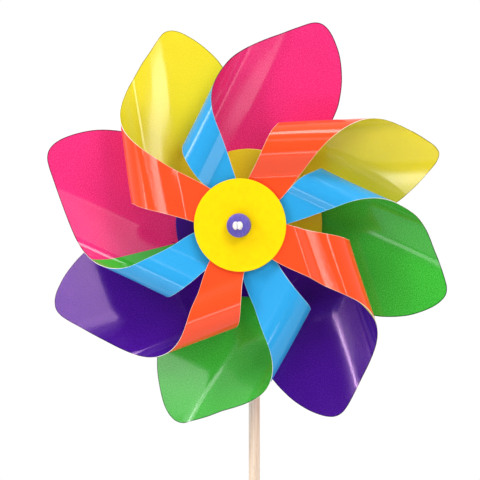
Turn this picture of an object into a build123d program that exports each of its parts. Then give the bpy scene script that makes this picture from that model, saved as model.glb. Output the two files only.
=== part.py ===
from build123d import *
import math
import os

# Pinwheel on a stick. Two stacked die-cut film sheets of four blades each turn on
# an axle through the top of a wooden stick. +Z runs up the stick, the axle runs
# along Y and the wheel faces -Y. The origin is the centre of the stick's lower end.

# ---- driving dimensions, mm ----
stick_d = 8.0
stick_len = 500.0
stick_neck_d = 7.4             # slimmer top where the axle passes
stick_neck_z = 472.0
stick_end_chamfer = 0.8
axle_z = 487.0                # axle height, 13 below the stick's top
axle_bore_r = 2.6             # running bores on the axle
axle_r = 2.5                  # moulded axle pin
axle_head_r = 6.5
axle_head_t = 2.4
barb_r = 3.5                  # snap prongs at the front end
barb_flat = 2.75              # half height of the prongs, flattened top and bottom
barb_len = 4.0
barb_slot = 0.45
barb_slot_depth = 13.0
notch_top, notch_bottom = (1.5, 0.9), (2.3, 1.7)   # width and depth of the two moulded notches
film_t = 0.4                  # blade film
sheet_b_y = -24.7             # mid-plane of the rear sheet
sheet_a_y = -26.2             # mid-plane of the front sheet
sheet_disc_r = 52.0           # un-slit middle of each sheet
opening_size = (13.0, 4.4)    # along and across the rear blade's curl axis
opening_at = (40.5, 34.5)
tip_pitch = 0.6               # spacing of the stacked arm tips
hub_disc_r = 32.0             # round cover disc in front of the arms
hub_disc_t = 1.2
bead_r = 8.2
bead_len = 6.6
bead_edge = 1.8
rear_bead_r = 8.0
rear_bead_len = 17.2
rear_disc_r = 24.0
rear_disc_t = 1.2
tube_r = 4.5
washer_r = 6.0
washer_t = 0.8

neck_turn = 48.0              # degrees of the middle's rim that each blade's root runs along

# profile across the blade: flat, lift, curl over, slope back, flat at the hub
#            flat  lift_r slope curl_r arm_slope settle_r
profile_a = (20.0, 67.0, 20.0, 17.0, 31.0, 10.0)
profile_b = (25.0, 30.0, 20.0, 15.5, 24.0, 10.0)
arm_level_a = 33.6            # lowest arm tip of the front sheet, in front of its mid-plane
arm_level_b = 30.9            # lowest arm tip of the rear sheet, in front of the front sheet's mid-plane
sheet_step = sheet_b_y - sheet_a_y

# The blades were curled by hand, so each has its own curl axis and reach.
# name: (curl axis in degrees from +X, curl's outermost distance, order of the tip in the stack,
#        petal outline from the slit's end round the tip, free edge of the arm, inner edge of the arm)
# outlines are (s, e): s across the curl along the film from the axle, e along the curl axis
BLADES = {
    "A8": (98.6, 74.0, 1,
           [(6.1, 51.6), (3.2, 64), (-0.5, 80), (-1.8, 97), (3.0, 113.3), (12.4, 126.1), (17.6, 131.4), (23.2, 136.1),
            (28.9, 139.9), (34.4, 141.6), (39.5, 140.8), (43.8, 137.2), (51.3, 128.8), (58.4, 121.1), (64.7, 113.0),
            (71.0, 105.4), (77.4, 97.4), (85.6, 87.6)],
           [(96.2, 76.1), (122.1, 51.5), (153.7, 28.4)],
           [(95.6, 25.0), (101.2, 22.9), (126.1, 12.7), (138.5, 7.1)]),
    "B1": (63.7, 62.0, 0,
           [(0.6, 51.9), (-7, 62), (-15.5, 74), (-20.4, 86), (-20.6, 98.6), (-18.7, 107.3), (-15.9, 115.4), (-12.5, 122.4),
            (-8.6, 128.8), (-4.3, 134.4), (0.4, 139.1), (5.5, 143.3), (10.7, 146.2), (16.0, 147.2), (21.1, 145.5),
            (29.8, 137.5), (37.7, 129.3), (45.1, 121.9), (51.8, 114.5), (57.9, 106.9), (64.3, 98.2)],
           [(73.4, 82.8), (90.0, 62.5), (108.8, 44.6), (125.3, 28.0)],
           [(74.7, 30.3), (83.3, 25.9), (102.2, 15.6), (112.3, 11.6)]),
    "A2": (3.0, 68.5, 0,
           [(10.2, 50.9), (7.5, 64), (4.4, 80), (4.6, 94), (9.9, 105.7), (14.4, 111.8), (19.2, 117.6), (24.6, 123.3),
            (30.3, 128.7), (36.6, 134.0), (42.4, 136.0), (47.2, 134.0), (54.5, 125.8), (60.8, 117.0), (67.1, 108.3),
            (75.9, 97.4)],
           [(85.6, 85.6), (108.4, 58.8), (129.2, 41.4), (142.8, 29.2)],
           [(82.7, 29.2), (93.7, 25.4), (127.5, 7.4)]),
    "B3": (-24.8, 58.0, 3,
           [(-0.8, 51.9), (-8.5, 62), (-17, 74), (-22.0, 86), (-22.6, 98), (-20.6, 109.0), (-17.7, 116.3), (-14.3, 122.9),
            (-10.4, 129.0), (-6.1, 134.0), (-1.5, 138.5), (3.5, 142.4), (8.6, 145.0), (13.8, 146.0), (18.7, 144.4),
            (23.2, 140.9), (31.7, 133.0), (39.7, 125.2), (47.3, 118.1), (54.3, 110.3), (59.4, 103.4)],
           [(67.4, 88.4), (87.1, 62.9), (103.9, 46.3), (120.3, 29.1)],
           [(75.1, 31.3), (88.2, 23.9), (107.1, 15.6)]),
    "A4": (-72.5, 67.7, 3,
           [(-0.1, 51.9), (-7.8, 62), (-15.6, 74), (-19.4, 86), (-19.4, 98), (-17.4, 107.5), (-14.7, 114.6), (-11.3, 121.3),
            (-7.4, 127.7), (-3.0, 133.3), (1.8, 138.3), (6.9, 142.4), (12.3, 145.7), (17.7, 147.3), (22.9, 146.5),
            (27.8, 143.4), (36.6, 135.1), (44.9, 126.8), (53.0, 119.0), (60.2, 111.3), (68.0, 102.3), (74.4, 94.4)],
           [(88.1, 78.0), (103.1, 64.0), (120.4, 49.8), (142.2, 30.2)],
           [(80.9, 31.5), (88.1, 28.8), (103.6, 21.2), (125.8, 9.4)]),
    "B5": (241.6, 69.0, 2,
           [(2.5, 51.9), (-4.6, 62), (-11.5, 74), (-15.4, 86), (-16.0, 98), (-13.4, 109.5), (-8.1, 120.0), (-4.1, 125.9),
            (0.3, 131.6), (5.1, 137.2), (10.2, 142.2), (15.6, 145.9), (21.0, 147.6), (26.1, 146.4), (30.8, 141.9),
            (39.8, 133.6), (48.2, 125.5), (56.0, 117.6), (63.2, 109.5), (71.0, 99.9), (78.4, 90.0)],
           [(93.1, 70.8), (103.3, 60.6), (119.8, 48.2), (138.7, 32.8)],
           [(78.6, 29.1), (88.8, 25.2), (104.2, 18.8), (126.6, 9.4)]),
    "A6": (202.0, 64.0, 2,
           [(-4.6, 51.7), (-12.2, 62), (-20, 74), (-25, 86), (-26.6, 98), (-26.2, 109), (-24.2, 118), (-21.3, 125.3),
            (-17.9, 131.9), (-14.0, 138.3), (-9.5, 144.0), (-4.7, 149.0), (0.4, 152.2), (5.7, 153.4), (10.9, 152.0),
            (15.8, 148.7), (24.9, 140.9), (33.3, 133.5), (41.3, 126.0), (49.0, 118.6), (56.0, 111.1), (63.4, 102.4),
            (71.0, 92.4)],
           [(79.0, 81.0), (87.6, 70.8), (96.5, 62.0), (112.8, 48.4), (133.5, 30.5)],
           [(77.0, 30.6), (82.9, 27.0), (102.2, 16.9), (118.7, 9.6)]),
    "B7": (156.5, 67.5, 1,
           [(-1.9, 51.9), (-9.5, 62), (-17.5, 74), (-22.4, 86), (-23.8, 98), (-22.8, 108.5), (-20.2, 117.3), (-17.0, 125.0),
            (-13.3, 131.6), (-9.0, 137.7), (-4.4, 143.2), (0.6, 148.0), (5.8, 151.3), (11.2, 152.7), (16.5, 151.6),
            (21.3, 148.4), (30.2, 140.2), (38.3, 132.2), (45.9, 124.4), (52.8, 117.1), (59.4, 109.7), (65.6, 101.8),
            (73.0, 91.0)],
           [(88.7, 68.6), (96.3, 59.6), (116.0, 43.0), (136.7, 28.6)],
           [(78.9, 29.1), (87.9, 24.8), (105.1, 14.9), (116.7, 9.9)]),
}


def chain(spec, outermost, level, base):
    """Primitives of the blade profile in (n, f) as (kind, s0, s1, x, y, heading, radius)."""
    flat, lift_r, slope, curl_r, arm_slope, settle_r = spec
    a, b = math.radians(slope), math.radians(arm_slope)
    run = (outermost - (flat + lift_r * math.sin(a) - curl_r * math.sin(a) + curl_r)) / math.cos(a)
    prims = []
    s, x, y, h = -30.0, -30.0, base, 0.0

    def line(length):
        nonlocal s, x, y
        prims.append(("line", s, s + length, x, y, h, 0.0))
        s, x, y = s + length, x + length * math.cos(h), y + length * math.sin(h)

    def arc(radius, turn):
        nonlocal s, x, y, h
        prims.append(("arc", s, s + radius * abs(turn), x, y, h, math.copysign(radius, turn)))
        r = math.copysign(radius, turn)
        x, y = x + r * (math.sin(h + turn) - math.sin(h)), y - r * (math.cos(h + turn) - math.cos(h))
        s, h = s + radius * abs(turn), h + turn

    line(30.0 + flat)
    arc(lift_r, a)
    line(run)
    arc(curl_r, math.radians(45) - a)
    arc(curl_r, math.radians(90))
    arc(curl_r, math.radians(45) + b)
    drop = settle_r * (1 - math.cos(b))
    line((y - level - drop) / math.sin(b))
    arc(settle_r, -b)
    line(x + 12.0)
    return prims


def at(prim, s, off=0.0):
    kind, s0, s1, x, y, h, r = prim
    d = s - s0
    if kind == "line":
        px, py, ph = x + d * math.cos(h), y + d * math.sin(h), h
    else:
        ph = h + d / r
        px, py = x + r * (math.sin(ph) - math.sin(h)), y - r * (math.cos(ph) - math.cos(h))
    return (px - off * math.sin(ph), py + off * math.cos(ph))


def locate(prims, s):
    for p in prims:
        if p[1] - 1e-9 <= s <= p[2] + 1e-9:
            return at(p, s)
    raise ValueError(s)


def smooth(points, per=4):
    """Points along a smooth curve through the given ones."""
    out = []
    n = len(points)
    for i in range(n - 1):
        p1, p2 = points[i], points[i + 1]
        p0 = points[i - 1] if i else (2 * p1[0] - p2[0], 2 * p1[1] - p2[1])
        p3 = points[i + 2] if i + 2 < n else (2 * p2[0] - p1[0], 2 * p2[1] - p1[1])
        d0, d1, d2 = (math.dist(a, b) ** 0.5 for a, b in ((p0, p1), (p1, p2), (p2, p3)))
        for k in range(per):
            u = k / per
            res = []
            for c in (0, 1):
                m1 = d1 * ((p1[c] - p0[c]) / d0 - (p2[c] - p0[c]) / (d0 + d1) + (p2[c] - p1[c]) / d1)
                m2 = d1 * ((p2[c] - p1[c]) / d1 - (p3[c] - p1[c]) / (d1 + d2) + (p3[c] - p2[c]) / d2)
                a_, b_ = 2 * p1[c] - 2 * p2[c] + m1 + m2, -3 * p1[c] + 3 * p2[c] - 2 * m1 - m2
                res.append(((a_ * u + b_) * u + m1) * u + p1[c])
            out.append(tuple(res))
    out.append(points[-1])
    return out


def reach(curve, s):
    """e where the curve last passes s."""
    for (a, b), (c, d) in reversed(list(zip(curve, curve[1:]))):
        if min(a, c) <= s <= max(a, c) and a != c:
            return b + (d - b) * (s - a) / (c - a)
    raise ValueError(s)


def between(curve, s0, s1):
    return [p for p in curve if s0 + 0.6 < p[0] < s1 - 0.6]


def strip_face(prims):
    """Closed face of the film's thickness along a run of profile primitives."""
    h = film_t / 2
    with BuildLine() as outline:
        for p in prims:
            mid = (p[1] + p[2]) / 2
            if p[0] == "line":
                Line(at(p, p[1], h), at(p, p[2], h))
            else:
                ThreePointArc(at(p, p[1], h), at(p, mid, h), at(p, p[2], h))
        last = prims[-1]
        Line(at(last, last[2], h), at(last, last[2], -h))
        for p in reversed(prims):
            mid = (p[1] + p[2]) / 2
            if p[0] == "line":
                Line(at(p, p[2], -h), at(p, p[1], -h))
            else:
                ThreePointArc(at(p, p[2], -h), at(p, mid, -h), at(p, p[1], -h))
        first = prims[0]
        Line(at(first, first[1], -h), at(first, first[1], h))
    return outline.line


def blade_pieces(name):
    """The back, curl and arm of one blade as three solids that meet face to face."""
    axis_deg, outermost, order, petal, free, inner = BLADES[name]
    if name[0] == "A":
        prims = chain(profile_a, outermost, arm_level_a + tip_pitch * order, 0.0)
        mid_y = sheet_a_y
    else:
        prims = chain(profile_b, outermost, arm_level_b + sheet_step + tip_pitch * order, 0.0)
        mid_y = sheet_b_y
    t = math.radians(axis_deg)
    e_dir = (math.cos(t), 0, math.sin(t))
    n_dir = (-math.sin(t), 0, math.cos(t))
    origin = (0, mid_y, axle_z)
    across = Plane(origin, x_dir=n_dir, z_dir=e_dir)
    facing = Plane(origin, x_dir=n_dir, z_dir=(0, 1, 0))
    side = Plane(origin, x_dir=(0, -1, 0), z_dir=n_dir)
    back, curl, front = prims[:4], prims[4:5], prims[5:]
    s_a, s_b, s_end = back[-1][2], curl[-1][2], front[-1][2]
    hub_s = s_end - 12.0

    petal = [(x + 1.0, e) if i < 4 else (x, e) for i, (x, e) in enumerate(petal)] if name[0] == "A" else petal
    upper_edge = smooth(petal + free + [(hub_s, 12.5)])
    neck_a = math.atan2(petal[0][0], petal[0][1]) + math.radians(neck_turn)
    neck = (sheet_disc_r * math.sin(neck_a), sheet_disc_r * math.cos(neck_a))
    lower_edge = smooth([neck, (neck[0] + 12, neck[1] - 1.2)] + inner + [(hub_s - 12, -6.0), (hub_s, -11.5)])

    def pos(s):
        return locate(prims, s)

    first = min(range(len(upper_edge)), key=lambda i: upper_edge[i][0])
    slit = upper_edge[:first + 1]
    outer = upper_edge[first:]
    inner_a = [((sheet_disc_r - 3.0) * math.sin(neck_a + math.radians(d)),
                (sheet_disc_r - 3.0) * math.cos(neck_a + math.radians(d))) for d in (-3, -15, -30, -45)]
    poly = (
        [neck]
        + [(pos(s)[0], e) for s, e in between(lower_edge, neck[0], s_a)]
        + [(pos(s_a)[0] + 1, reach(lower_edge, s_a)), (pos(s_a)[0] + 1, reach(outer, s_a))]
        + [(pos(s)[0], e) for s, e in reversed(between(outer, slit[-1][0], s_a))]
        + [(pos(s)[0], e) for s, e in reversed(slit)]
        + list(reversed(inner_a))
    )
    with BuildPart() as back_piece:
        with BuildSketch(across):
            with BuildLine():
                add(strip_face(back))
            make_face()
        extrude(amount=170)
        with BuildSketch(facing):
            with BuildLine():
                Polyline(*poly, close=True)
            make_face()
        extrude(amount=80, both=True, mode=Mode.INTERSECT)

    low = [(s_a, reach(lower_edge, s_a))] + between(lower_edge, s_a, s_b) + [(s_b, reach(lower_edge, s_b))]
    high = [(s_a, reach(outer, s_a))] + between(outer, s_a, s_b) + [(s_b, reach(outer, s_b))]
    low = [(pos(s)[1], e) for s, e in low]
    high = [(pos(s)[1], e) for s, e in high]
    low[0], high[0] = (low[0][0] - 1, low[0][1]), (high[0][0] - 1, high[0][1])
    low[-1], high[-1] = (low[-1][0] + 1, low[-1][1]), (high[-1][0] + 1, high[-1][1])
    with BuildPart() as curl_piece:
        with BuildSketch(across):
            with BuildLine():
                add(strip_face(curl))
            make_face()
        extrude(amount=170)
        with BuildSketch(side):
            with BuildLine():
                Polyline(*(low + list(reversed(high))), close=True)
            make_face()
        extrude(amount=110, both=True, mode=Mode.INTERSECT)

    low = [(s_b, reach(lower_edge, s_b))] + between(lower_edge, s_b, hub_s) + [(hub_s, -11.5)]
    high = [(s_b, reach(outer, s_b))] + between(outer, s_b, hub_s) + [(hub_s, 12.5)]
    low = [(pos(s)[0], e) for s, e in low]
    high = [(pos(s)[0], e) for s, e in high]
    low[0], high[0] = (low[0][0] + 1, low[0][1]), (high[0][0] + 1, high[0][1])
    cap = [(-11.5 * math.sin(math.radians(a)), 0.5 - 12.0 * math.cos(math.radians(a))) for a in (25, 50, 75, 105, 130, 155)]
    with BuildPart() as arm_piece:
        with BuildSketch(across):
            with BuildLine():
                add(strip_face(front))
            make_face()
        extrude(amount=130, both=True)
        with BuildSketch(facing):
            with BuildLine():
                Polyline(*(low + cap + list(reversed(high))), close=True)
            make_face()
        extrude(amount=80, both=True, mode=Mode.INTERSECT)
    return back_piece.part, curl_piece.part, arm_piece.part


front_pieces = [piece for name in BLADES if name[0] == "A" for piece in blade_pieces(name)]
rear_pieces = [piece for name in BLADES if name[0] == "B" for piece in blade_pieces(name)]

level_top = arm_level_a + tip_pitch * 3 + film_t / 2
hub_back_y = sheet_a_y - level_top - 0.3          # back of the cover disc
hub_front_y = hub_back_y - hub_disc_t
bead_back_y = hub_front_y - 0.3
bead_front_y = bead_back_y - bead_len
barb_back_y = bead_front_y - 0.3
rear_disc_front_y = sheet_b_y + film_t / 2 + 0.1
stick_front_y = -stick_neck_d / 2
axis_plane = Plane(origin=(0, 0, axle_z), x_dir=(1, 0, 0), z_dir=(0, -1, 0))   # offset() moves towards the front

# ---- front blade sheet ----
with BuildPart() as front_blade_sheet:
    with BuildSketch(axis_plane.offset(-sheet_a_y - film_t / 2)):
        Circle(sheet_disc_r)
    extrude(amount=film_t)
    add(front_pieces)
    # openings at the slits' ends, where the rear sheet's blades come forward between the front ones
    with BuildSketch(axis_plane.offset(-sheet_a_y - 2)):
        for name in BLADES:
            if name[0] == "B":
                with Locations(Rotation(0, 0, BLADES[name][0])):
                    with Locations(opening_at):
                        Rectangle(*opening_size)
    extrude(amount=4, mode=Mode.SUBTRACT)
    with BuildSketch(axis_plane.offset(-sheet_a_y - 2)):
        Circle(tube_r + 0.15)
    extrude(amount=4, mode=Mode.SUBTRACT)
    with BuildSketch(axis_plane.offset(-sheet_a_y + 20)):
        Circle(axle_bore_r)
    extrude(amount=20, mode=Mode.SUBTRACT)
front_blade_sheet.part.label = "front_blade_sheet"

# ---- rear blade sheet ----
with BuildPart() as rear_blade_sheet:
    with BuildSketch(axis_plane.offset(-sheet_b_y - film_t / 2)):
        Circle(sheet_disc_r)
    extrude(amount=film_t)
    add(rear_pieces)
    with BuildSketch(axis_plane.offset(-sheet_b_y - 2)):
        Circle(tube_r + 0.15)
    extrude(amount=4, mode=Mode.SUBTRACT)
    with BuildSketch(axis_plane.offset(-sheet_b_y + 20)):
        Circle(axle_bore_r)
    extrude(amount=20, mode=Mode.SUBTRACT)
rear_blade_sheet.part.label = "rear_blade_sheet"

# ---- hub tube that keeps the arm tips clear of the sheets ----
tube_back_y = rear_disc_front_y
tube_front_y = sheet_a_y - arm_level_b + film_t / 2 + 0.1
with BuildPart() as hub_tube:
    with BuildSketch(axis_plane.offset(-tube_back_y)):
        Circle(tube_r)
        Circle(axle_bore_r, mode=Mode.SUBTRACT)
    extrude(amount=tube_back_y - tube_front_y)
hub_tube.part.label = "hub_tube"

# ---- cover disc in front of the arm tips ----
with BuildPart() as front_disc:
    with BuildSketch(axis_plane.offset(-hub_back_y)):
        Circle(hub_disc_r)
        Circle(axle_bore_r, mode=Mode.SUBTRACT)
    extrude(amount=hub_disc_t)
    fillet(front_disc.edges().filter_by(GeomType.CIRCLE).group_by(Axis.Y)[0].sort_by(SortBy.RADIUS)[-1:], 0.4)
front_disc.part.label = "front_disc"

# ---- backing disc behind the sheets ----
with BuildPart() as rear_disc:
    with BuildSketch(axis_plane.offset(-rear_disc_front_y - rear_disc_t)):
        Circle(rear_disc_r)
        Circle(axle_bore_r, mode=Mode.SUBTRACT)
    extrude(amount=rear_disc_t)
rear_disc.part.label = "rear_disc"

# ---- stained wooden bead in front ----
with BuildPart() as front_bead:
    with BuildSketch(axis_plane.offset(-bead_back_y)):
        Circle(bead_r)
        Circle(axle_bore_r, mode=Mode.SUBTRACT)
    extrude(amount=bead_len)
    fillet(front_bead.edges().filter_by(GeomType.CIRCLE).sort_by(SortBy.RADIUS)[-2:], bead_edge)
front_bead.part.label = "front_bead"

# ---- wooden bead behind, between the wheel and the stick ----
rear_bead_front_y = rear_disc_front_y + rear_disc_t + 0.3
with BuildPart() as rear_bead:
    with BuildSketch(axis_plane.offset(-rear_bead_front_y - rear_bead_len)):
        Circle(rear_bead_r)
        Circle(axle_bore_r, mode=Mode.SUBTRACT)
    extrude(amount=rear_bead_len)
    fillet(rear_bead.edges().filter_by(GeomType.CIRCLE).sort_by(SortBy.RADIUS)[-2:], 3.0)
rear_bead.part.label = "rear_bead"

# ---- washer between the rear bead and the stick ----
washer_back_y = stick_front_y - 0.3
with BuildPart() as stick_washer:
    with BuildSketch(axis_plane.offset(-washer_back_y)):
        Circle(washer_r)
        Circle(axle_bore_r, mode=Mode.SUBTRACT)
    extrude(amount=washer_t)
stick_washer.part.label = "stick_washer"

# ---- stick with the axle's cross hole ----
with BuildPart() as stick:
    with BuildSketch(Plane.XY):
        Circle(stick_d / 2)
    extrude(amount=stick_neck_z)
    chamfer(stick.edges().group_by(Axis.Z)[-1], (stick_d - stick_neck_d) / 2 - 0.01)
    with BuildSketch(Plane.XY.offset(stick_neck_z)):
        Circle(stick_neck_d / 2)
    extrude(amount=stick_len - stick_neck_z)
    chamfer(stick.edges().group_by(Axis.Z)[-1], stick_end_chamfer)
    with BuildSketch(axis_plane.offset(-10)):
        Circle(axle_r + 0.02)
    extrude(amount=20, mode=Mode.SUBTRACT)
stick.part.label = "stick"

# ---- moulded axle pin: domed head behind the stick, split snap end in front ----
head_front_y = stick_neck_d / 2 + 0.1
head_back_y = head_front_y + axle_head_t
with BuildPart() as axle_pin:
    with BuildSketch(Plane(origin=(0, 0, axle_z), x_dir=(1, 0, 0), z_dir=(0, 0, 1))):
        with BuildLine():
            Polyline(
                (0, head_back_y),
                (axle_head_r - 1.6, head_back_y),
                (axle_head_r, head_back_y - 1.6),
                (axle_head_r, head_front_y),
                (axle_r, head_front_y),
                (axle_r, barb_back_y),
                (barb_r, barb_back_y - 0.5),
                (barb_r, barb_back_y - 1.6),
                (barb_r - 1.4, barb_back_y - barb_len),
                (0, barb_back_y - barb_len),
                close=True,
            )
        make_face()
    revolve(axis=Axis((0, 0, axle_z), (0, 1, 0)))
    with BuildSketch(axis_plane.offset(-(barb_back_y - barb_len) - barb_slot_depth)):
        Rectangle(barb_slot, 30)
    extrude(amount=barb_slot_depth + 5, mode=Mode.SUBTRACT)
    with BuildSketch(axis_plane.offset(-barb_back_y)):
        with Locations((0, barb_flat + 2), (0, -barb_flat - 2)):
            Rectangle(12, 4)
        Polygon((-notch_top[0] / 2, barb_flat + 0.1), (notch_top[0] / 2, barb_flat + 0.1), (0, barb_flat - notch_top[1]), align=None)
        Polygon((-notch_bottom[0] / 2, -barb_flat - 0.1), (0, -barb_flat + notch_bottom[1]), (notch_bottom[0] / 2, -barb_flat - 0.1), align=None)
    extrude(amount=barb_len + 1, mode=Mode.SUBTRACT)
axle_pin.part.label = "axle_pin"

os.makedirs("parts", exist_ok=True)
for piece in (front_blade_sheet, rear_blade_sheet, hub_tube, front_disc, rear_disc, front_bead,
              rear_bead, stick_washer, stick, axle_pin):
    export_step(piece.part, f"parts/{piece.part.label}.step")
    print(piece.part.label, len(piece.part.solids()), round(piece.part.volume, 1))
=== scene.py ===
import bpy
import math
import numpy as np
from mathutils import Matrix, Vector


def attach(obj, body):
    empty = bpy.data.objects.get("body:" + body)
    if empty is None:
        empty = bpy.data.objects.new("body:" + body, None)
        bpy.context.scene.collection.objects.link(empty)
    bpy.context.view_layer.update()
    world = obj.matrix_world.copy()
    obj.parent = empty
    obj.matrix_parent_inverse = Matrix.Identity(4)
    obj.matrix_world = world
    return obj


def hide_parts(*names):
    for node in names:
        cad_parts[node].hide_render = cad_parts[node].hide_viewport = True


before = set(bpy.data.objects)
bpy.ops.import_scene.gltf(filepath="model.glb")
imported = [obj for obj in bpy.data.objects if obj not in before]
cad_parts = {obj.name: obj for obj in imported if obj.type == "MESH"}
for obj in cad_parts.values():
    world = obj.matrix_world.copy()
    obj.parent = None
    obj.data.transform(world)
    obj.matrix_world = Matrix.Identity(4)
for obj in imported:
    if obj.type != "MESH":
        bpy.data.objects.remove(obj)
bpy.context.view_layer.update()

MM = 0.001


# ------------------------------------------------------------------ shader helpers
def srgb(r, g, b):
    def lin(c):
        c /= 255.0
        return c / 12.92 if c <= 0.04045 else ((c + 0.055) / 1.055) ** 2.4
    return (lin(r), lin(g), lin(b), 1.0)


class Mat:
    """A node material under construction, with short helpers."""

    def __init__(self, name, **sockets):
        self.m = bpy.data.materials.new(name)
        self.m.use_nodes = True
        self.t = self.m.node_tree
        self.p = self.t.nodes["Principled BSDF"]
        for key, value in sockets.items():
            self.p.inputs[key.replace("_", " ")].default_value = value

    def node(self, kind, **props):
        n = self.t.nodes.new(kind)
        for k, v in props.items():
            setattr(n, k, v)
        return n

    def link(self, a, b):
        self.t.links.new(a, b)

    def coords(self, scale=(1, 1, 1), rotation=(0, 0, 0)):
        tc = self.node("ShaderNodeTexCoord")
        mp = self.node("ShaderNodeMapping")
        mp.inputs["Scale"].default_value = scale
        mp.inputs["Rotation"].default_value = rotation
        self.link(tc.outputs["Object"], mp.inputs["Vector"])
        return mp.outputs["Vector"]

    def attr_vec(self, name, scale=(1, 1, 1)):
        a = self.node("ShaderNodeAttribute", attribute_name=name)
        mp = self.node("ShaderNodeMapping")
        mp.inputs["Scale"].default_value = scale
        self.link(a.outputs["Vector"], mp.inputs["Vector"])
        return mp.outputs["Vector"]

    def noise(self, vec, scale, detail=3.0, rough=0.55, distortion=0.0):
        n = self.node("ShaderNodeTexNoise")
        n.inputs["Scale"].default_value = scale
        n.inputs["Detail"].default_value = detail
        n.inputs["Roughness"].default_value = rough
        n.inputs["Distortion"].default_value = distortion
        self.link(vec, n.inputs["Vector"])
        return n.outputs["Fac"]

    def ramp(self, fac, stops, interp="LINEAR"):
        r = self.node("ShaderNodeValToRGB")
        r.color_ramp.interpolation = interp
        els = r.color_ramp.elements
        while len(els) < len(stops):
            els.new(0.5)
        for e, (pos, col) in zip(els, stops):
            e.position, e.color = pos, col
        self.link(fac, r.inputs["Fac"])
        return r.outputs["Color"]

    def remap(self, fac, lo, hi, to_lo, to_hi):
        r = self.node("ShaderNodeMapRange")
        for i, v in zip((1, 2, 3, 4), (lo, hi, to_lo, to_hi)):
            r.inputs[i].default_value = v
        self.link(fac, r.inputs[0])
        return r.outputs[0]

    def mix(self, fac, a, b, mode="MIX"):
        m = self.node("ShaderNodeMix", data_type="RGBA", blend_type=mode)
        for value, sock in ((fac, m.inputs[0]), (a, m.inputs[6]), (b, m.inputs[7])):
            if hasattr(value, "links"):
                self.link(value, sock)
            else:
                sock.default_value = value
        return m.outputs[2]

    def math(self, op, a, b=0.0):
        m = self.node("ShaderNodeMath", operation=op)
        for value, sock in ((a, m.inputs[0]), (b, m.inputs[1])):
            if hasattr(value, "links"):
                self.link(value, sock)
            else:
                sock.default_value = value
        return m.outputs[0]

    def bump(self, *layers):
        """layers of (height, strength, distance_m), chained"""
        normal = None
        for height, strength, distance in layers:
            b = self.node("ShaderNodeBump")
            b.inputs["Strength"].default_value = strength
            b.inputs["Distance"].default_value = distance
            self.link(height, b.inputs["Height"])
            if normal is not None:
                self.link(normal, b.inputs["Normal"])
            normal = b.outputs["Normal"]
        self.link(normal, self.p.inputs["Normal"])

    def out(self, name, socket):
        self.link(socket, self.p.inputs[name])


def film(name, col, dark, light, rim, rim_mm, other=None, grain=0.5, rough=(0.09, 0.14), tint=(1, 1, 1)):
    """Printed glossy film. col, dark, light and rim are sRGB triples; other is the colour past the print boundary.
    rim tints a band rim_mm wide along the outline: a pale cut-edge line on the arm backs, dark painted shade on the
    printed petal faces.
    """
    m = Mat(name, Coat_Weight=0.1, Coat_Roughness=0.04, IOR=1.46, Specular_Tint=(*tint, 1.0))
    flat = m.attr_vec("flat_mm")
    fine = m.noise(flat, 1.35, 2.0, 0.65)
    finer = m.noise(flat, 3.1, 1.0, 0.5)
    cloud = m.noise(flat, 0.035, 3.0, 0.5)
    speck = m.ramp(m.math("ADD", m.math("MULTIPLY", fine, 0.65), m.math("MULTIPLY", finer, 0.35)),
                   [(0.36, srgb(*dark)), (0.50, srgb(*col)), (0.63, srgb(*light))])
    base = m.mix(grain, srgb(*col), speck)
    tone = m.mix(m.remap(cloud, 0.3, 0.7, 0.0, 0.15), base, srgb(*dark))
    if other is not None:
        a = m.node("ShaderNodeAttribute", attribute_name="print_side")
        edge = m.remap(a.outputs["Fac"], -0.12, 0.12, 0.0, 1.0)
        tone = m.mix(edge, tone, srgb(*other))
    # band along the outline: pale cut-edge line on the arm backs, painted shade (a dark outline) on the printed petal
    # faces
    r = m.node("ShaderNodeAttribute", attribute_name="rim_mm")
    tone = m.mix(m.remap(r.outputs["Fac"], rim_mm * 0.7, rim_mm * 1.3, 0.85, 0.0), tone, srgb(*rim))
    m.out("Base Color", tone)
    m.out("Roughness", m.remap(m.noise(flat, 0.12, 4.0), 0.3, 0.7, rough[0], rough[1]))
    peel = m.noise(flat, 0.55, 2.0)
    swell = m.noise(flat, 0.018, 1.0)
    m.bump((swell, 0.12, 0.0020), (peel, 0.035, 0.00035), (fine, grain * 0.16, 0.00012))
    return m.m


# the fifth colour is the outline band: pale on the orange and blue backs, painted shade on the printed faces
RED = film("film_orange_red", (255, 80, 34), (240, 62, 22), (255, 104, 58), (255, 206, 170), 0.22, grain=0.3, rough=(0.10, 0.15))
BLUE = film("film_blue", (44, 162, 224), (30, 142, 206), (78, 182, 236), (170, 214, 240), 0.22, grain=0.3, rough=(0.10, 0.15))
YELLOW = film("film_yellow", (242, 220, 40), (224, 200, 22), (250, 234, 86), (150, 130, 14), 0.5,
              other=(66, 10, 140), grain=0.6)
PURPLE = film("film_violet", (66, 10, 140), (46, 4, 104), (96, 34, 176), (16, 2, 36), 0.55,
              other=(240, 218, 40), grain=0.8, tint=(1.0, 0.55, 1.0))
PINK = film("film_magenta", (238, 42, 120), (206, 26, 94), (252, 84, 152), (70, 4, 32), 0.6,
            other=(56, 182, 50), grain=0.8)
GREEN = film("film_green", (56, 184, 50), (38, 152, 36), (100, 212, 90), (10, 66, 12), 0.6,
             other=(236, 40, 116), grain=0.85)

m = Mat("film_cut_edge", Roughness=0.45, Subsurface_Weight=0.0)
v = m.attr_vec("flat_mm")
m.out("Base Color", m.ramp(m.noise(v, 0.8), [(0.3, srgb(238, 232, 224)), (0.7, srgb(255, 252, 246))]))
m.bump((m.noise(v, 3.0), 0.2, 0.0001))
EDGE = m.m

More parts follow.
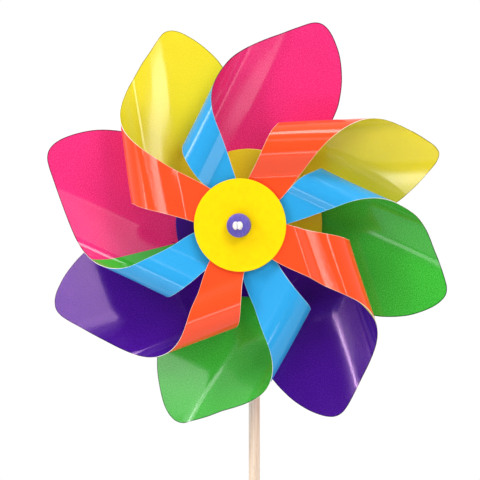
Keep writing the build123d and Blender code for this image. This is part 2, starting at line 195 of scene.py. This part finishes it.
# dark cut edge along the petals: painted shade, the film's own cut edge is the pale one above
m = Mat("film_cut_edge_painted_shade", Roughness=0.5)
v = m.attr_vec("flat_mm")
m.out("Base Color", m.ramp(m.noise(v, 0.8), [(0.3, srgb(40, 22, 34)), (0.7, srgb(66, 42, 50))]))
m.bump((m.noise(v, 3.0), 0.2, 0.0001))
RIM = m.m

# ------------------------------------------------------------------ blade geometry
AXLE_Z = 487.0
SHEET_A_Y, SHEET_B_Y = -26.2, -24.7
DISC_R = 52.0
FILM = 0.36

# name: (curl axis deg, curl outermost mm, tip order, front print,
#        petal outline from the slit's end round the tip, free edge of the arm, inner edge of the arm)
# outlines are (s, e) in mm on the rolled film: s across the curl from the axle, e along the curl axis
BLADES = {
    "A8": (98.6, 74.0, 1, "YELLOW",
           [(6.1, 51.6), (3.2, 64), (-0.5, 80), (-1.8, 97), (3.0, 113.3), (12.4, 126.1), (17.6, 131.4), (23.2, 136.1),
            (28.9, 139.9), (34.4, 141.6), (39.5, 140.8), (43.8, 137.2), (51.3, 128.8), (58.4, 121.1), (64.7, 113.0),
            (71.0, 105.4), (77.4, 97.4), (85.6, 87.6)],
           [(96.2, 76.1), (122.1, 51.5), (153.7, 28.4)],
           [(95.6, 25.0), (101.2, 22.9), (126.1, 12.7), (138.5, 7.1)]),
    "B1": (63.7, 62.0, 0, "PINK",
           [(0.6, 51.9), (-7, 62), (-15.5, 74), (-20.4, 86), (-20.6, 98.6), (-18.7, 107.3), (-15.9, 115.4), (-12.5, 122.4),
            (-8.6, 128.8), (-4.3, 134.4), (0.4, 139.1), (5.5, 143.3), (10.7, 146.2), (16.0, 147.2), (21.1, 145.5),
            (29.8, 137.5), (37.7, 129.3), (45.1, 121.9), (51.8, 114.5), (57.9, 106.9), (64.3, 98.2)],
           [(73.4, 82.8), (90.0, 62.5), (108.8, 44.6), (125.3, 28.0)],
           [(74.7, 30.3), (83.3, 25.9), (102.2, 15.6), (112.3, 11.6)]),
    "A2": (3.0, 68.5, 0, "YELLOW",
           [(10.2, 50.9), (7.5, 64), (4.4, 80), (4.6, 94), (9.9, 105.7), (14.4, 111.8), (19.2, 117.6), (24.6, 123.3),
            (30.3, 128.7), (36.6, 134.0), (42.4, 136.0), (47.2, 134.0), (54.5, 125.8), (60.8, 117.0), (67.1, 108.3),
            (75.9, 97.4)],
           [(85.6, 85.6), (108.4, 58.8), (129.2, 41.4), (142.8, 29.2)],
           [(82.7, 29.2), (93.7, 25.4), (127.5, 7.4)]),
    "B3": (-24.8, 58.0, 3, "GREEN",
           [(-0.8, 51.9), (-8.5, 62), (-17, 74), (-22.0, 86), (-22.6, 98), (-20.6, 109.0), (-17.7, 116.3), (-14.3, 122.9),
            (-10.4, 129.0), (-6.1, 134.0), (-1.5, 138.5), (3.5, 142.4), (8.6, 145.0), (13.8, 146.0), (18.7, 144.4),
            (23.2, 140.9), (31.7, 133.0), (39.7, 125.2), (47.3, 118.1), (54.3, 110.3), (59.4, 103.4)],
           [(67.4, 88.4), (87.1, 62.9), (103.9, 46.3), (120.3, 29.1)],
           [(75.1, 31.3), (88.2, 23.9), (107.1, 15.6)]),
    "A4": (-72.5, 67.7, 3, "PURPLE",
           [(-0.1, 51.9), (-7.8, 62), (-15.6, 74), (-19.4, 86), (-19.4, 98), (-17.4, 107.5), (-14.7, 114.6), (-11.3, 121.3),
            (-7.4, 127.7), (-3.0, 133.3), (1.8, 138.3), (6.9, 142.4), (12.3, 145.7), (17.7, 147.3), (22.9, 146.5),
            (27.8, 143.4), (36.6, 135.1), (44.9, 126.8), (53.0, 119.0), (60.2, 111.3), (68.0, 102.3), (74.4, 94.4)],
           [(88.1, 78.0), (103.1, 64.0), (120.4, 49.8), (142.2, 30.2)],
           [(80.9, 31.5), (88.1, 28.8), (103.6, 21.2), (125.8, 9.4)]),
    "B5": (241.6, 69.0, 2, "GREEN",
           [(2.5, 51.9), (-4.6, 62), (-11.5, 74), (-15.4, 86), (-16.6, 98.4), (-14.6, 110.4), (-9.6, 121.3), (-5.7, 127.4),
            (-1.3, 133.2), (3.6, 139.0), (8.9, 144.2), (14.9, 148.0), (21.0, 149.6), (26.6, 148.2), (31.6, 143.3),
            (40.4, 134.5), (48.2, 125.5), (56.0, 117.6), (63.2, 109.5), (71.0, 99.9), (78.4, 90.0)],
           [(93.1, 70.8), (103.3, 60.6), (119.8, 48.2), (138.7, 32.8)],
           [(78.6, 29.1), (88.8, 25.2), (104.2, 18.8), (126.6, 9.4)]),
    "A6": (202.0, 64.0, 2, "PURPLE",
           [(-4.6, 51.7), (-12.2, 62), (-20, 74), (-25, 86), (-26.6, 98), (-26.2, 109), (-24.2, 118), (-21.3, 125.3),
            (-17.9, 131.9), (-14.0, 138.3), (-9.5, 144.0), (-4.7, 149.0), (0.4, 152.2), (5.7, 153.4), (10.9, 152.0),
            (15.8, 148.7), (24.9, 140.9), (33.3, 133.5), (41.3, 126.0), (49.0, 118.6), (56.0, 111.1), (63.4, 102.4),
            (71.0, 92.4)],
           [(79.0, 81.0), (87.6, 70.8), (96.5, 62.0), (112.8, 48.4), (133.5, 30.5)],
           [(77.0, 30.6), (82.9, 27.0), (102.2, 16.9), (118.7, 9.6)]),
    "B7": (156.5, 67.5, 1, "PINK",
           [(-1.9, 51.9), (-9.5, 62), (-17.5, 74), (-22.4, 86), (-23.8, 98), (-22.8, 108.5), (-20.2, 117.3), (-17.0, 125.0),
            (-13.3, 131.6), (-9.0, 137.7), (-4.4, 143.2), (0.6, 148.0), (5.8, 151.3), (11.2, 152.7), (16.5, 151.6),
            (21.3, 148.4), (30.2, 140.2), (38.3, 132.2), (45.9, 124.4), (52.8, 117.1), (59.4, 109.7), (65.6, 101.8),
            (73.0, 91.0)],
           [(88.7, 68.6), (96.3, 59.6), (116.0, 43.0), (136.7, 28.6)],
           [(78.9, 29.1), (87.9, 24.8), (105.1, 14.9), (116.7, 9.9)]),
}


def build_profile(spec_a, outermost, order):
    """Dense table (s, n, f, heading) of the blade's section; f runs forward from sheet A."""
    if spec_a:
        flat, lift_r, slope, curl_r, arm_slope, base, level = 20.0, 67.0, 20.0, 17.0, 31.0, 0.0, 33.6 + 0.6 * order
    else:
        flat, lift_r, slope, curl_r, arm_slope, base, level = 25.0, 30.0, 20.0, 15.5, 24.0, -1.5, 31.0 + 0.6 * order
    a, b = math.radians(slope), math.radians(arm_slope)
    run = (outermost - (flat + lift_r * math.sin(a) - curl_r * math.sin(a) + curl_r)) / math.cos(a)
    settle = 10.0
    rows = [(-40.0, -40.0, base, 0.0)]

    def line(length):
        s, x, y, h = rows[-1]
        k = max(1, int(length / 1.5))
        for i in range(1, k + 1):
            d = length * i / k
            rows.append((s + d, x + d * math.cos(h), y + d * math.sin(h), h))

    def arc(r, turn):
        s, x, y, h = rows[-1]
        rr = math.copysign(r, turn)
        k = max(4, int(r * abs(turn) / 0.5))
        for i in range(1, k + 1):
            hh = h + turn * i / k
            rows.append((s + r * abs(turn) * i / k, x + rr * (math.sin(hh) - math.sin(h)),
                         y - rr * (math.cos(hh) - math.cos(h)), hh))

    line(40 + flat)
    arc(lift_r, a)
    line(run)
    arc(curl_r, math.pi - a + b)
    curl_end = rows[-1][0]
    drop = settle * (1 - math.cos(b))
    line((rows[-1][2] - level - drop) / math.sin(b))
    arc(settle, -b)
    hub = rows[-1][0] + rows[-1][1]
    line(rows[-1][1] + 25.0)
    return rows, hub, curl_end


def lookup(rows, s):
    lo, hi = 0, len(rows) - 1
    while hi - lo > 1:
        mid = (lo + hi) // 2
        if rows[mid][0] <= s:
            lo = mid
        else:
            hi = mid
    a, b = rows[lo], rows[hi]
    w = (s - a[0]) / (b[0] - a[0])
    return tuple(a[i] + w * (b[i] - a[i]) for i in range(4))


def catmull(points, per=10):
    """Smooth curve through the points (centripetal enough for evenly placed ones)."""
    out = []
    n = len(points)
    for i in range(n - 1):
        p1, p2 = points[i], points[i + 1]
        p0 = points[i - 1] if i else (2 * p1[0] - p2[0], 2 * p1[1] - p2[1])
        p3 = points[i + 2] if i + 2 < n else (2 * p2[0] - p1[0], 2 * p2[1] - p1[1])
        d0, d1, d2 = (max(1e-6, math.dist(a, b)) ** 0.5 for a, b in ((p0, p1), (p1, p2), (p2, p3)))
        for k in range(per):
            t = k / per
            res = []
            for c in (0, 1):
                m1 = d1 * ((p1[c] - p0[c]) / d0 - (p2[c] - p0[c]) / (d0 + d1) + (p2[c] - p1[c]) / d1)
                m2 = d1 * ((p2[c] - p1[c]) / d1 - (p3[c] - p1[c]) / (d1 + d2) + (p3[c] - p2[c]) / d2)
                a_, b_ = 2 * p1[c] - 2 * p2[c] + m1 + m2, -3 * p1[c] + 3 * p2[c] - 2 * m1 - m2
                res.append(((a_ * t + b_) * t + m1) * t + p1[c])
            out.append(tuple(res))
    out.append(points[-1])
    return out


def resample_by_s(curve, s):
    """First crossing of the curve with this s."""
    best = None
    for (a, b), (c, d) in zip(curve, curve[1:]):
        if (a - s) * (c - s) <= 0 and a != c:
            w = (s - a) / (c - a)
            return b + w * (d - b)
        for q, r in ((a, b), (c, d)):
            if best is None or abs(q - s) < best[0]:
                best = (abs(q - s), r)
    return best[1]


def blade_edges(name):
    axis, outermost, order, face, petal, free, inner = BLADES[name]
    rows, hub, curl_end = build_profile(name[0] == "A", outermost, order)
    outline = catmull(petal + free + [(hub - 3, 13.5), (hub + 6, 11.0), (hub + 11.5, 5.0)], 12)
    # split the outline at its least s into the slit side and the outer side
    k = min(range(len(outline)), key=lambda i: outline[i][0])
    slit, outer = outline[:k + 1][::-1], outline[k:]
    root_s = petal[0][0]
    # the root runs along the rim of the middle from the slit's end to 48 degrees further round
    end_a = math.atan2(petal[0][0], petal[0][1]) + math.radians(48.0)
    neck = (DISC_R * math.sin(end_a), DISC_R * math.cos(end_a))
    arm_low = catmull([neck, (neck[0] + 12, neck[1] - 1.2)] + inner
                      + [(hub - 12, -6.0), (hub, -11.5), (hub + 8, -8.5), (hub + 11.5, -2.0)], 12)
    return rows, hub, slit, outer, arm_low, root_s, neck[0], curl_end


def ease(x):
    x = max(0.0, min(1.0, x))
    return x * x * (3 - 2 * x)


def bend(name, s, e):
    """How far the relaxed film stands towards the viewer from its plain curl, mm."""
    def tip(e0, w, m):
        u = (e - e0) / w
        if u <= 0:
            return 0.0
        return m * w * (u ** 3 - u ** 4 / 2) if u < 1 else m * w * 0.5 + m * (e - e0 - w)

    if name == "A6":
        return -tip(102, 16, 0.19)
    if name == "B5":
        return -tip(92, 25, 0.14)
    if name == "A2":
        if s >= 43:
            return 0.0
        d = -0.17 * (43 - s) ** 2 / 46 if s > 20 else -0.17 * 11.5 - 0.17 * (20 - s)
        return d * ease((e - 55) / 25)
    return 0.0


def edge_distance(points, lines):
    """Distance of each point to the nearest of the polylines, mm."""
    pts = np.array(points)[:, None, :]
    best = np.full(len(points), 99.0)
    for line in lines:
        a = np.array(line[:-1])[None]
        d = np.array(line[1:])[None] - a
        w = np.clip(((pts - a) * d).sum(-1) / np.maximum((d * d).sum(-1), 1e-9), 0, 1)
        best = np.minimum(best, np.linalg.norm(pts - a - w[..., None] * d, axis=-1).min(1))
    return best


TO_VIEW = Vector((0.1648, -0.9851, 0.0488))

# slack bands where the curl runs out into an arm: name: (s at e = 25 mm, change per mm of e, tilt there, degrees)
SLACK = {"A8": (117.0, -0.08, 22.5), "A4": (109.3, -0.07, 18.0)}


def slack_table(rows, s0, tilt):
    """Offsets (s, mm) that let the film's tilt linger near the given one round s0, then die out."""
    out, d, step = [], 0.0, 0.25
    for i in range(int(16 / step)):
        x = -8 + i * step
        now = math.degrees(lookup(rows, s0 + x)[3]) - 180
        w = 1 - ease((abs(x) - 3.6) / 4.2)
        d += math.tan(math.radians(w * (tilt + 0.3 * x - now))) * step
        out.append(-d)
    return out


def slack(name, rows, s, e, cache):
    if name not in SLACK:
        return 0.0
    at, per_e, tilt = SLACK[name]
    s0 = round((at + per_e * (e - 25)) * 20) / 20.0
    if s0 not in cache:
        cache[s0] = slack_table(rows, s0, tilt)
    tab = cache[s0]
    x = (s - s0 + 8) / 0.25
    if x <= 0:
        return 0.0
    k = int(x)
    if k < len(tab) - 1:
        return tab[k] + (tab[k + 1] - tab[k]) * (x - k)
    return tab[-1] * (1 - ease((s - s0 - 8) / 22))


def make_blade(name, verts, faces, mats, flat, side, rim):
    axis, outermost, order, face, petal, free, inner = BLADES[name]
    rows, hub, slit, outer, arm_low, root_s, neck_s, curl_end = blade_edges(name)
    t = math.radians(axis)
    e_dir = Vector((math.cos(t), 0, math.sin(t)))
    n_dir = Vector((-math.sin(t), 0, math.cos(t)))
    fwd = Vector((0, -1, 0))
    origin = Vector((0, SHEET_A_Y, AXLE_Z))
    s_min, s_max = slit[0][0], hub + 11.5
    inside = 7.0                                      # the root runs this far under the sheet's middle

    columns = []
    s_list = []
    s = s_min
    # closer columns at the rounded ends
    k = 0
    while s < s_max:
        s_list.append(s)
        near = min(s - s_min, s_max - s)
        s += 0.12 + min(0.95, 0.22 * max(0.0, near) ** 0.8)
    s_list.append(s_max)
    for s in s_list:
        up = resample_by_s(outer, s)
        if s <= root_s:
            low = resample_by_s(slit, s)
        elif s <= neck_s:
            w = (s - root_s) / (neck_s - root_s)
            low = math.sqrt(DISC_R ** 2 - s * s) - inside * min(1.0, 12 * w, 12 * (1 - w))
        else:
            low = resample_by_s(arm_low, s)
        columns.append((s, low, max(up, low)))
    rows_t = 26
    base = len(verts)
    nrow = rows_t + 1
    phase = axis * 0.13
    grid = [(s, low + (up - low) * j / rows_t) for s, low, up in columns for j in range(nrow)]
    away_mm = edge_distance(grid, [slit, outer, [q for q in arm_low if q[0] > neck_s + 0.5]])
    cache = {}
    for layer in (0, 1):
        rim.extend(away_mm)
        for s, low, up in columns:
            _, n, f, h = lookup(rows, s)
            for j in range(nrow):
                e = low + (up - low) * j / rows_t
                # film is never quite a true cylinder: a slow, small swell away from the hub
                away = min(1.0, max(0.0, (s - 28) / 25.0)) * min(1.0, max(0.0, (hub - 34 - s) / 30.0))
                swell = away * (0.35 * math.sin(e * 0.055 + s * 0.03 + phase) + 0.12 * math.sin(s * 0.17 + e * 0.04 + 2 * phase))
                off = (FILM / 2 if layer else -FILM / 2) + swell
                pn, pf = n - off * math.sin(h), f + off * math.cos(h)
                verts.append((origin + e * e_dir + pn * n_dir + pf * fwd + (bend(name, s, e) + slack(name, rows, s, e, cache)) * TO_VIEW) * MM)
                flat.append((s + 400 * (ord(name[1]) % 7), e + 0.0, 60.0 * layer))
                # flat polar direction against the print boundary through the hub
                bound = math.radians(({"A": 146.7, "B": 196.0}[name[0]]) + (0 if name in ("A8", "B7", "A6", "B1") else 180))
                fx = s * n_dir.x + e * e_dir.x
                fz = s * n_dir.z + e * e_dir.z
                side.append(-(fx * math.sin(bound) - fz * math.cos(bound)) if name in ("B7", "A8", "A4", "B3") else -50.0)
    nc = len(columns)
    lay = nc * nrow
    back = "RED" if name[0] == "A" else "BLUE"
    # the film's cut edge shows pale along the arms; along the petals it gets the dark painted-shade edge
    bare = curl_end - (56.0 if name[0] == "A" else 49.0) if name != "B1" else curl_end

    def edge_mat(i):
        return "EDGE" if columns[i][0] > bare else "RIM"

    def vid(layer, i, j):
        return base + layer * lay + i * nrow + j

    for i in range(nc - 1):
        for j in range(rows_t):
            faces.append((vid(0, i, j), vid(0, i, j + 1), vid(0, i + 1, j + 1), vid(0, i + 1, j)))
            mats.append(back)
            faces.append((vid(1, i, j), vid(1, i + 1, j), vid(1, i + 1, j + 1), vid(1, i, j + 1)))
            mats.append(face)
    for i in range(nc - 1):
        faces.append((vid(0, i, 0), vid(0, i + 1, 0), vid(1, i + 1, 0), vid(1, i, 0)))
        mats.append(edge_mat(i))
        faces.append((vid(0, i + 1, rows_t), vid(0, i, rows_t), vid(1, i, rows_t), vid(1, i + 1, rows_t)))
        mats.append(edge_mat(i))
    for j in range(rows_t):
        faces.append((vid(0, 0, j + 1), vid(0, 0, j), vid(1, 0, j), vid(1, 0, j + 1)))
        mats.append("RIM")
        faces.append((vid(0, nc - 1, j), vid(0, nc - 1, j + 1), vid(1, nc - 1, j + 1), vid(1, nc - 1, j)))
        mats.append("EDGE")


def make_middle(letter, verts, faces, mats, flat, side, rim):
    """The sheet's un-slit middle, a little proud of the blade roots so that they join without a seam."""
    y = SHEET_A_Y if letter == "A" else SHEET_B_Y
    half = FILM / 2 + 0.04
    rings = [4.7, 12, 20, 28, 36, 44, 50, 51.6, DISC_R]
    seg = 180
    base = len(verts)
    bound = math.radians(146.7 if letter == "A" else 196.0)
    for layer in (0, 1):
        for r in rings:
            for k in range(seg):
                a = 2 * math.pi * k / seg
                x, z = r * math.cos(a), r * math.sin(a)
                off = half if layer else -half
                verts.append(Vector((x, y - off, AXLE_Z + z)) * MM)
                flat.append((x + 3000, z, 60.0 * layer))
                side.append(-(x * math.sin(bound) - z * math.cos(bound)))
                rim.append(9.0)
    lay = len(rings) * seg

    def vid(layer, i, k):
        return base + layer * lay + i * seg + k % seg

    first, back = ("YELLOW", "RED") if letter == "A" else ("PINK", "BLUE")
    for i in range(len(rings) - 1):
        for k in range(seg):
            faces.append((vid(0, i, k), vid(0, i, k + 1), vid(0, i + 1, k + 1), vid(0, i + 1, k)))
            mats.append(back)
            faces.append((vid(1, i, k), vid(1, i + 1, k), vid(1, i + 1, k + 1), vid(1, i, k + 1)))
            mats.append(first)
    for k in range(seg):
        n = len(rings) - 1
        faces.append((vid(0, n, k), vid(0, n, k + 1), vid(1, n, k + 1), vid(1, n, k)))
        mats.append(first)
        faces.append((vid(0, 0, k + 1), vid(0, 0, k), vid(1, 0, k), vid(1, 0, k + 1)))
        mats.append(first)


SLOTS = {"RED": RED, "BLUE": BLUE, "YELLOW": YELLOW, "PURPLE": PURPLE, "PINK": PINK, "GREEN": GREEN, "EDGE": EDGE, "RIM": RIM}


def make_sheet(obj_name, letter, node):
    verts, faces, mats, flat, side, rim = [], [], [], [], [], []
    make_middle(letter, verts, faces, mats, flat, side, rim)
    for name in BLADES:
        if name[0] == letter:
            make_blade(name, verts, faces, mats, flat, side, rim)
    me = bpy.data.meshes.new(obj_name)
    me.from_pydata([tuple(v) for v in verts], [], faces)
    used = sorted(set(mats))
    for u in used:
        me.materials.append(SLOTS[u])
    index = {u: i for i, u in enumerate(used)}
    me.polygons.foreach_set("material_index", [index[x] for x in mats])
    a = me.attributes.new("flat_mm", "FLOAT_VECTOR", "POINT")
    a.data.foreach_set("vector", [c for v in flat for c in v])
    b = me.attributes.new("print_side", "FLOAT", "POINT")
    b.data.foreach_set("value", side)
    c = me.attributes.new("rim_mm", "FLOAT", "POINT")
    c.data.foreach_set("value", [float(v) for v in rim])
    me.polygons.foreach_set("use_smooth", [x not in ("EDGE", "RIM") for x in mats])
    # sharp between faces and cut edge
    me.update()
    obj = bpy.data.objects.new(obj_name, me)
    bpy.context.scene.collection.objects.link(obj)
    import bmesh
    bm = bmesh.new()
    bm.from_mesh(me)
    edge_i = {index.get("EDGE", -1), index.get("RIM", -1)}
    for ed in bm.edges:
        kinds = {f.material_index in edge_i for f in ed.link_faces}
        if len(kinds) == 2:
            ed.smooth = False
    bmesh.ops.dissolve_degenerate(bm, dist=1e-6, edges=bm.edges)
    bmesh.ops.recalc_face_normals(bm, faces=bm.faces)
    bm.to_mesh(me)
    bm.free()
    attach(obj, "wheel")
    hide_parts(node)
    return obj


sheet_a = make_sheet("front_sheet_film", "A", "front_blade_sheet")
sheet_b = make_sheet("rear_sheet_film", "B", "rear_blade_sheet")


# ------------------------------------------------------------------ materials of the CAD pieces
def node_obj(name):
    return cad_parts[name]


def assign(node, material):
    o = node_obj(node)
    if not o.material_slots:
        o.data.materials.append(material)
    for s in o.material_slots:
        s.material = material


# natural beech: streaks along the stick, short dark flecks, fine pores
def wood(name, pale, mid, dark, along=(1, 1, 0.03), stain=None):
    w = Mat(name, Coat_Weight=0.05, Coat_Roughness=0.4, IOR=1.45)
    v = w.coords(scale=along)
    streak = w.noise(v, 900, 4.0, 0.6, 0.3)
    broad = w.noise(v, 190, 3.0, 0.5, 0.4)
    fleck = w.noise(w.coords(scale=(1, 1, 0.09)), 2600, 2.0, 0.5)
    col = w.ramp(streak, [(0.28, srgb(*dark)), (0.46, srgb(*mid)), (0.64, srgb(*pale))])
    col = w.mix(w.remap(broad, 0.35, 0.65, 0.0, 0.5), col, srgb(*pale))
    col = w.mix(w.remap(fleck, 0.62, 0.74, 0.0, 0.5), col, srgb(*dark))
    w.out("Base Color", col)
    w.out("Roughness", w.remap(streak, 0.3, 0.7, 0.62, 0.45))
    w.bump((streak, 0.35, 0.00012), (fleck, 0.3, 0.00008))
    return w.m


assign("stick", wood("beech_natural", (243, 221, 198), (232, 204, 178), (196, 158, 126)))
assign("rear_bead", wood("beech_bead", (240, 214, 180), (226, 194, 156), (190, 150, 108), along=(0.06, 1, 1)))
assign("front_bead", wood("bead_violet_stain", (112, 98, 190), (90, 74, 172), (58, 42, 136), along=(1, 1, 0.12)))


def plastic(name, col, dark, rough=(0.3, 0.45), sss=0.0, scale=500, spec=0.5):
    p = Mat(name, IOR=1.46, Subsurface_Weight=sss, Subsurface_Scale=0.001, Specular_IOR_Level=spec)
    v = p.coords()
    p.out("Base Color", p.ramp(p.noise(v, scale, 3.0), [(0.3, srgb(*dark)), (0.7, srgb(*col))]))
    p.out("Roughness", p.remap(p.noise(v, scale * 0.4, 2.0), 0.3, 0.7, rough[0], rough[1]))
    p.bump((p.noise(v, scale * 3, 2.0), 0.08, 0.0001))
    return p.m


assign("axle_pin", plastic("nylon_white", (248, 248, 246), (232, 232, 228), (0.3, 0.42), 0.1))
assign("hub_tube", plastic("tube_white", (240, 240, 236), (226, 226, 222)))
assign("stick_washer", plastic("washer_white", (240, 240, 236), (226, 226, 222)))
assign("front_disc", plastic("disc_yellow", (252, 216, 0), (248, 209, 0), (0.42, 0.5), 0.0, 260, 0.12))
assign("rear_disc", plastic("disc_yellow_rear", (250, 226, 6), (240, 214, 0), (0.4, 0.5), 0.0, 260))

# ------------------------------------------------------------------ stage, lights, camera
def plane(name, verts, faces, mat):
    me = bpy.data.meshes.new(name)
    me.from_pydata(verts, [], faces)
    me.materials.append(mat)
    o = bpy.data.objects.new(name, me)
    bpy.context.scene.collection.objects.link(o)
    for p in me.polygons:
        p.use_smooth = True
    return o


fl = Mat("pale_floor", Roughness=0.7)
fv = fl.coords()
fl.out("Base Color", fl.ramp(fl.noise(fv, 3.0, 4.0), [(0.3, (0.60, 0.60, 0.61, 1)), (0.7, (0.65, 0.65, 0.66, 1))]))
plane("floor", [(-1.9, -0.75, 0), (1.9, -0.75, 0), (1.9, 1.3, 0), (-1.9, 1.3, 0)], [(0, 1, 2, 3)], fl.m)

# white backdrop side behind the object, dim room on the viewer's side
world = bpy.data.worlds.new("studio")
bpy.context.scene.world = world
world.use_nodes = True
wt = world.node_tree
bg = wt.nodes["Background"]
tc = wt.nodes.new("ShaderNodeTexCoord")
sep = wt.nodes.new("ShaderNodeSeparateXYZ")
ramp = wt.nodes.new("ShaderNodeValToRGB")
ramp.color_ramp.elements[0].position = 0.15
ramp.color_ramp.elements[0].color = (0.135, 0.135, 0.135, 1)
ramp.color_ramp.elements[1].position = 0.75
ramp.color_ramp.elements[1].color = (1.02, 1.02, 1.02, 1)
mr = wt.nodes.new("ShaderNodeMapRange")
mr.inputs[1].default_value, mr.inputs[2].default_value = -1.0, 1.0
wt.links.new(tc.outputs["Generated"], sep.inputs["Vector"])
wt.links.new(sep.outputs["Y"], mr.inputs[0])
wt.links.new(mr.outputs[0], ramp.inputs["Fac"])
wt.links.new(ramp.outputs["Color"], bg.inputs["Color"])
bg.inputs["Strength"].default_value = 1.0


def area(name, loc, target, size, power, size_y=None):
    l = bpy.data.lights.new(name, "AREA")
    l.shape = "RECTANGLE"
    l.size = size
    l.size_y = size_y or size
    l.energy = power
    o = bpy.data.objects.new(name, l)
    o.location = loc
    o.rotation_euler = (Vector(target) - Vector(loc)).to_track_quat("-Z", "Y").to_euler()
    bpy.context.scene.collection.objects.link(o)
    return o


HUB = Vector((0, -0.026, 0.487))
area("key_right_high", (1.0, -1.28, 1.72), HUB, 0.7, 19, 0.7)
area("key_left_high", (-1.5, -0.85, 1.5), HUB, 0.7, 14, 0.7)
area("top", (0.0, -0.9, 2.4), HUB, 1.2, 15, 0.5)
# soft boxes beside the viewer, seen in the film as streaks
area("strip_left", (-0.70, -0.92, 0.25), HUB, 0.15, 0.95, 0.44)
area("strip_left_core", (-0.612, -0.90, 0.065), HUB, 0.05, 0.42, 0.11)
area("strip_right", (0.50, -0.92, 0.66), HUB, 0.11, 0.85, 0.36)
area("strip_right_low", (0.54, -0.92, 0.25), HUB, 0.14, 0.42, 0.42)
area("card_low", (-0.2, -0.88, 0.085), HUB, 0.7, 0.95, 0.13)
area("card_high", (-0.06, -1.03, 1.12), HUB, 0.26, 0.24, 0.22)
area("card_centre_low", (0.04, -0.93, 0.125), HUB, 0.14, 0.30, 0.16)
area("card_left", (-0.74, -0.74, 0.40), HUB, 0.34, 0.26, 0.30)
area("card_left_wide", (-0.76, -0.76, 0.42), HUB, 0.56, 0.32, 0.46)

AZ, EL, DIST = math.radians(9.5), math.radians(2.8), 1.451
MMPX = 0.7015
cam_data = bpy.data.cameras.new("camera")
cam = bpy.data.objects.new("camera", cam_data)
bpy.context.scene.collection.objects.link(cam)
to_cam = Vector((math.sin(AZ) * math.cos(EL), -math.cos(AZ) * math.cos(EL), math.sin(EL)))
# the axle's point on the front sheet sits at (248.5, 223) of the 480 square frame
cam_data.sensor_width = 36.0
cam_data.lens = 36.0 * (DIST * 1000 / MMPX) / 480.0
fwd = -to_cam
right = fwd.cross(Vector((0, 0, 1))).normalized()
up = right.cross(fwd)
pan = right * ((240 - 248.5) * MMPX * MM) + up * ((223 - 240) * MMPX * MM)
aim = Vector((0, SHEET_A_Y * MM, AXLE_Z * MM)) + pan
cam.location = aim + to_cam * DIST
cam.rotation_euler = fwd.to_track_quat("-Z", "Y").to_euler()
cam_data.clip_start = 0.05
cam_data.clip_end = 30
bpy.context.scene.camera = cam

# plain sRGB view, so that saturated print colours stay saturated
bpy.context.scene.view_settings.view_transform = "Standard"
bpy.context.scene.view_settings.look = "None"

bpy.context.view_layer.update()
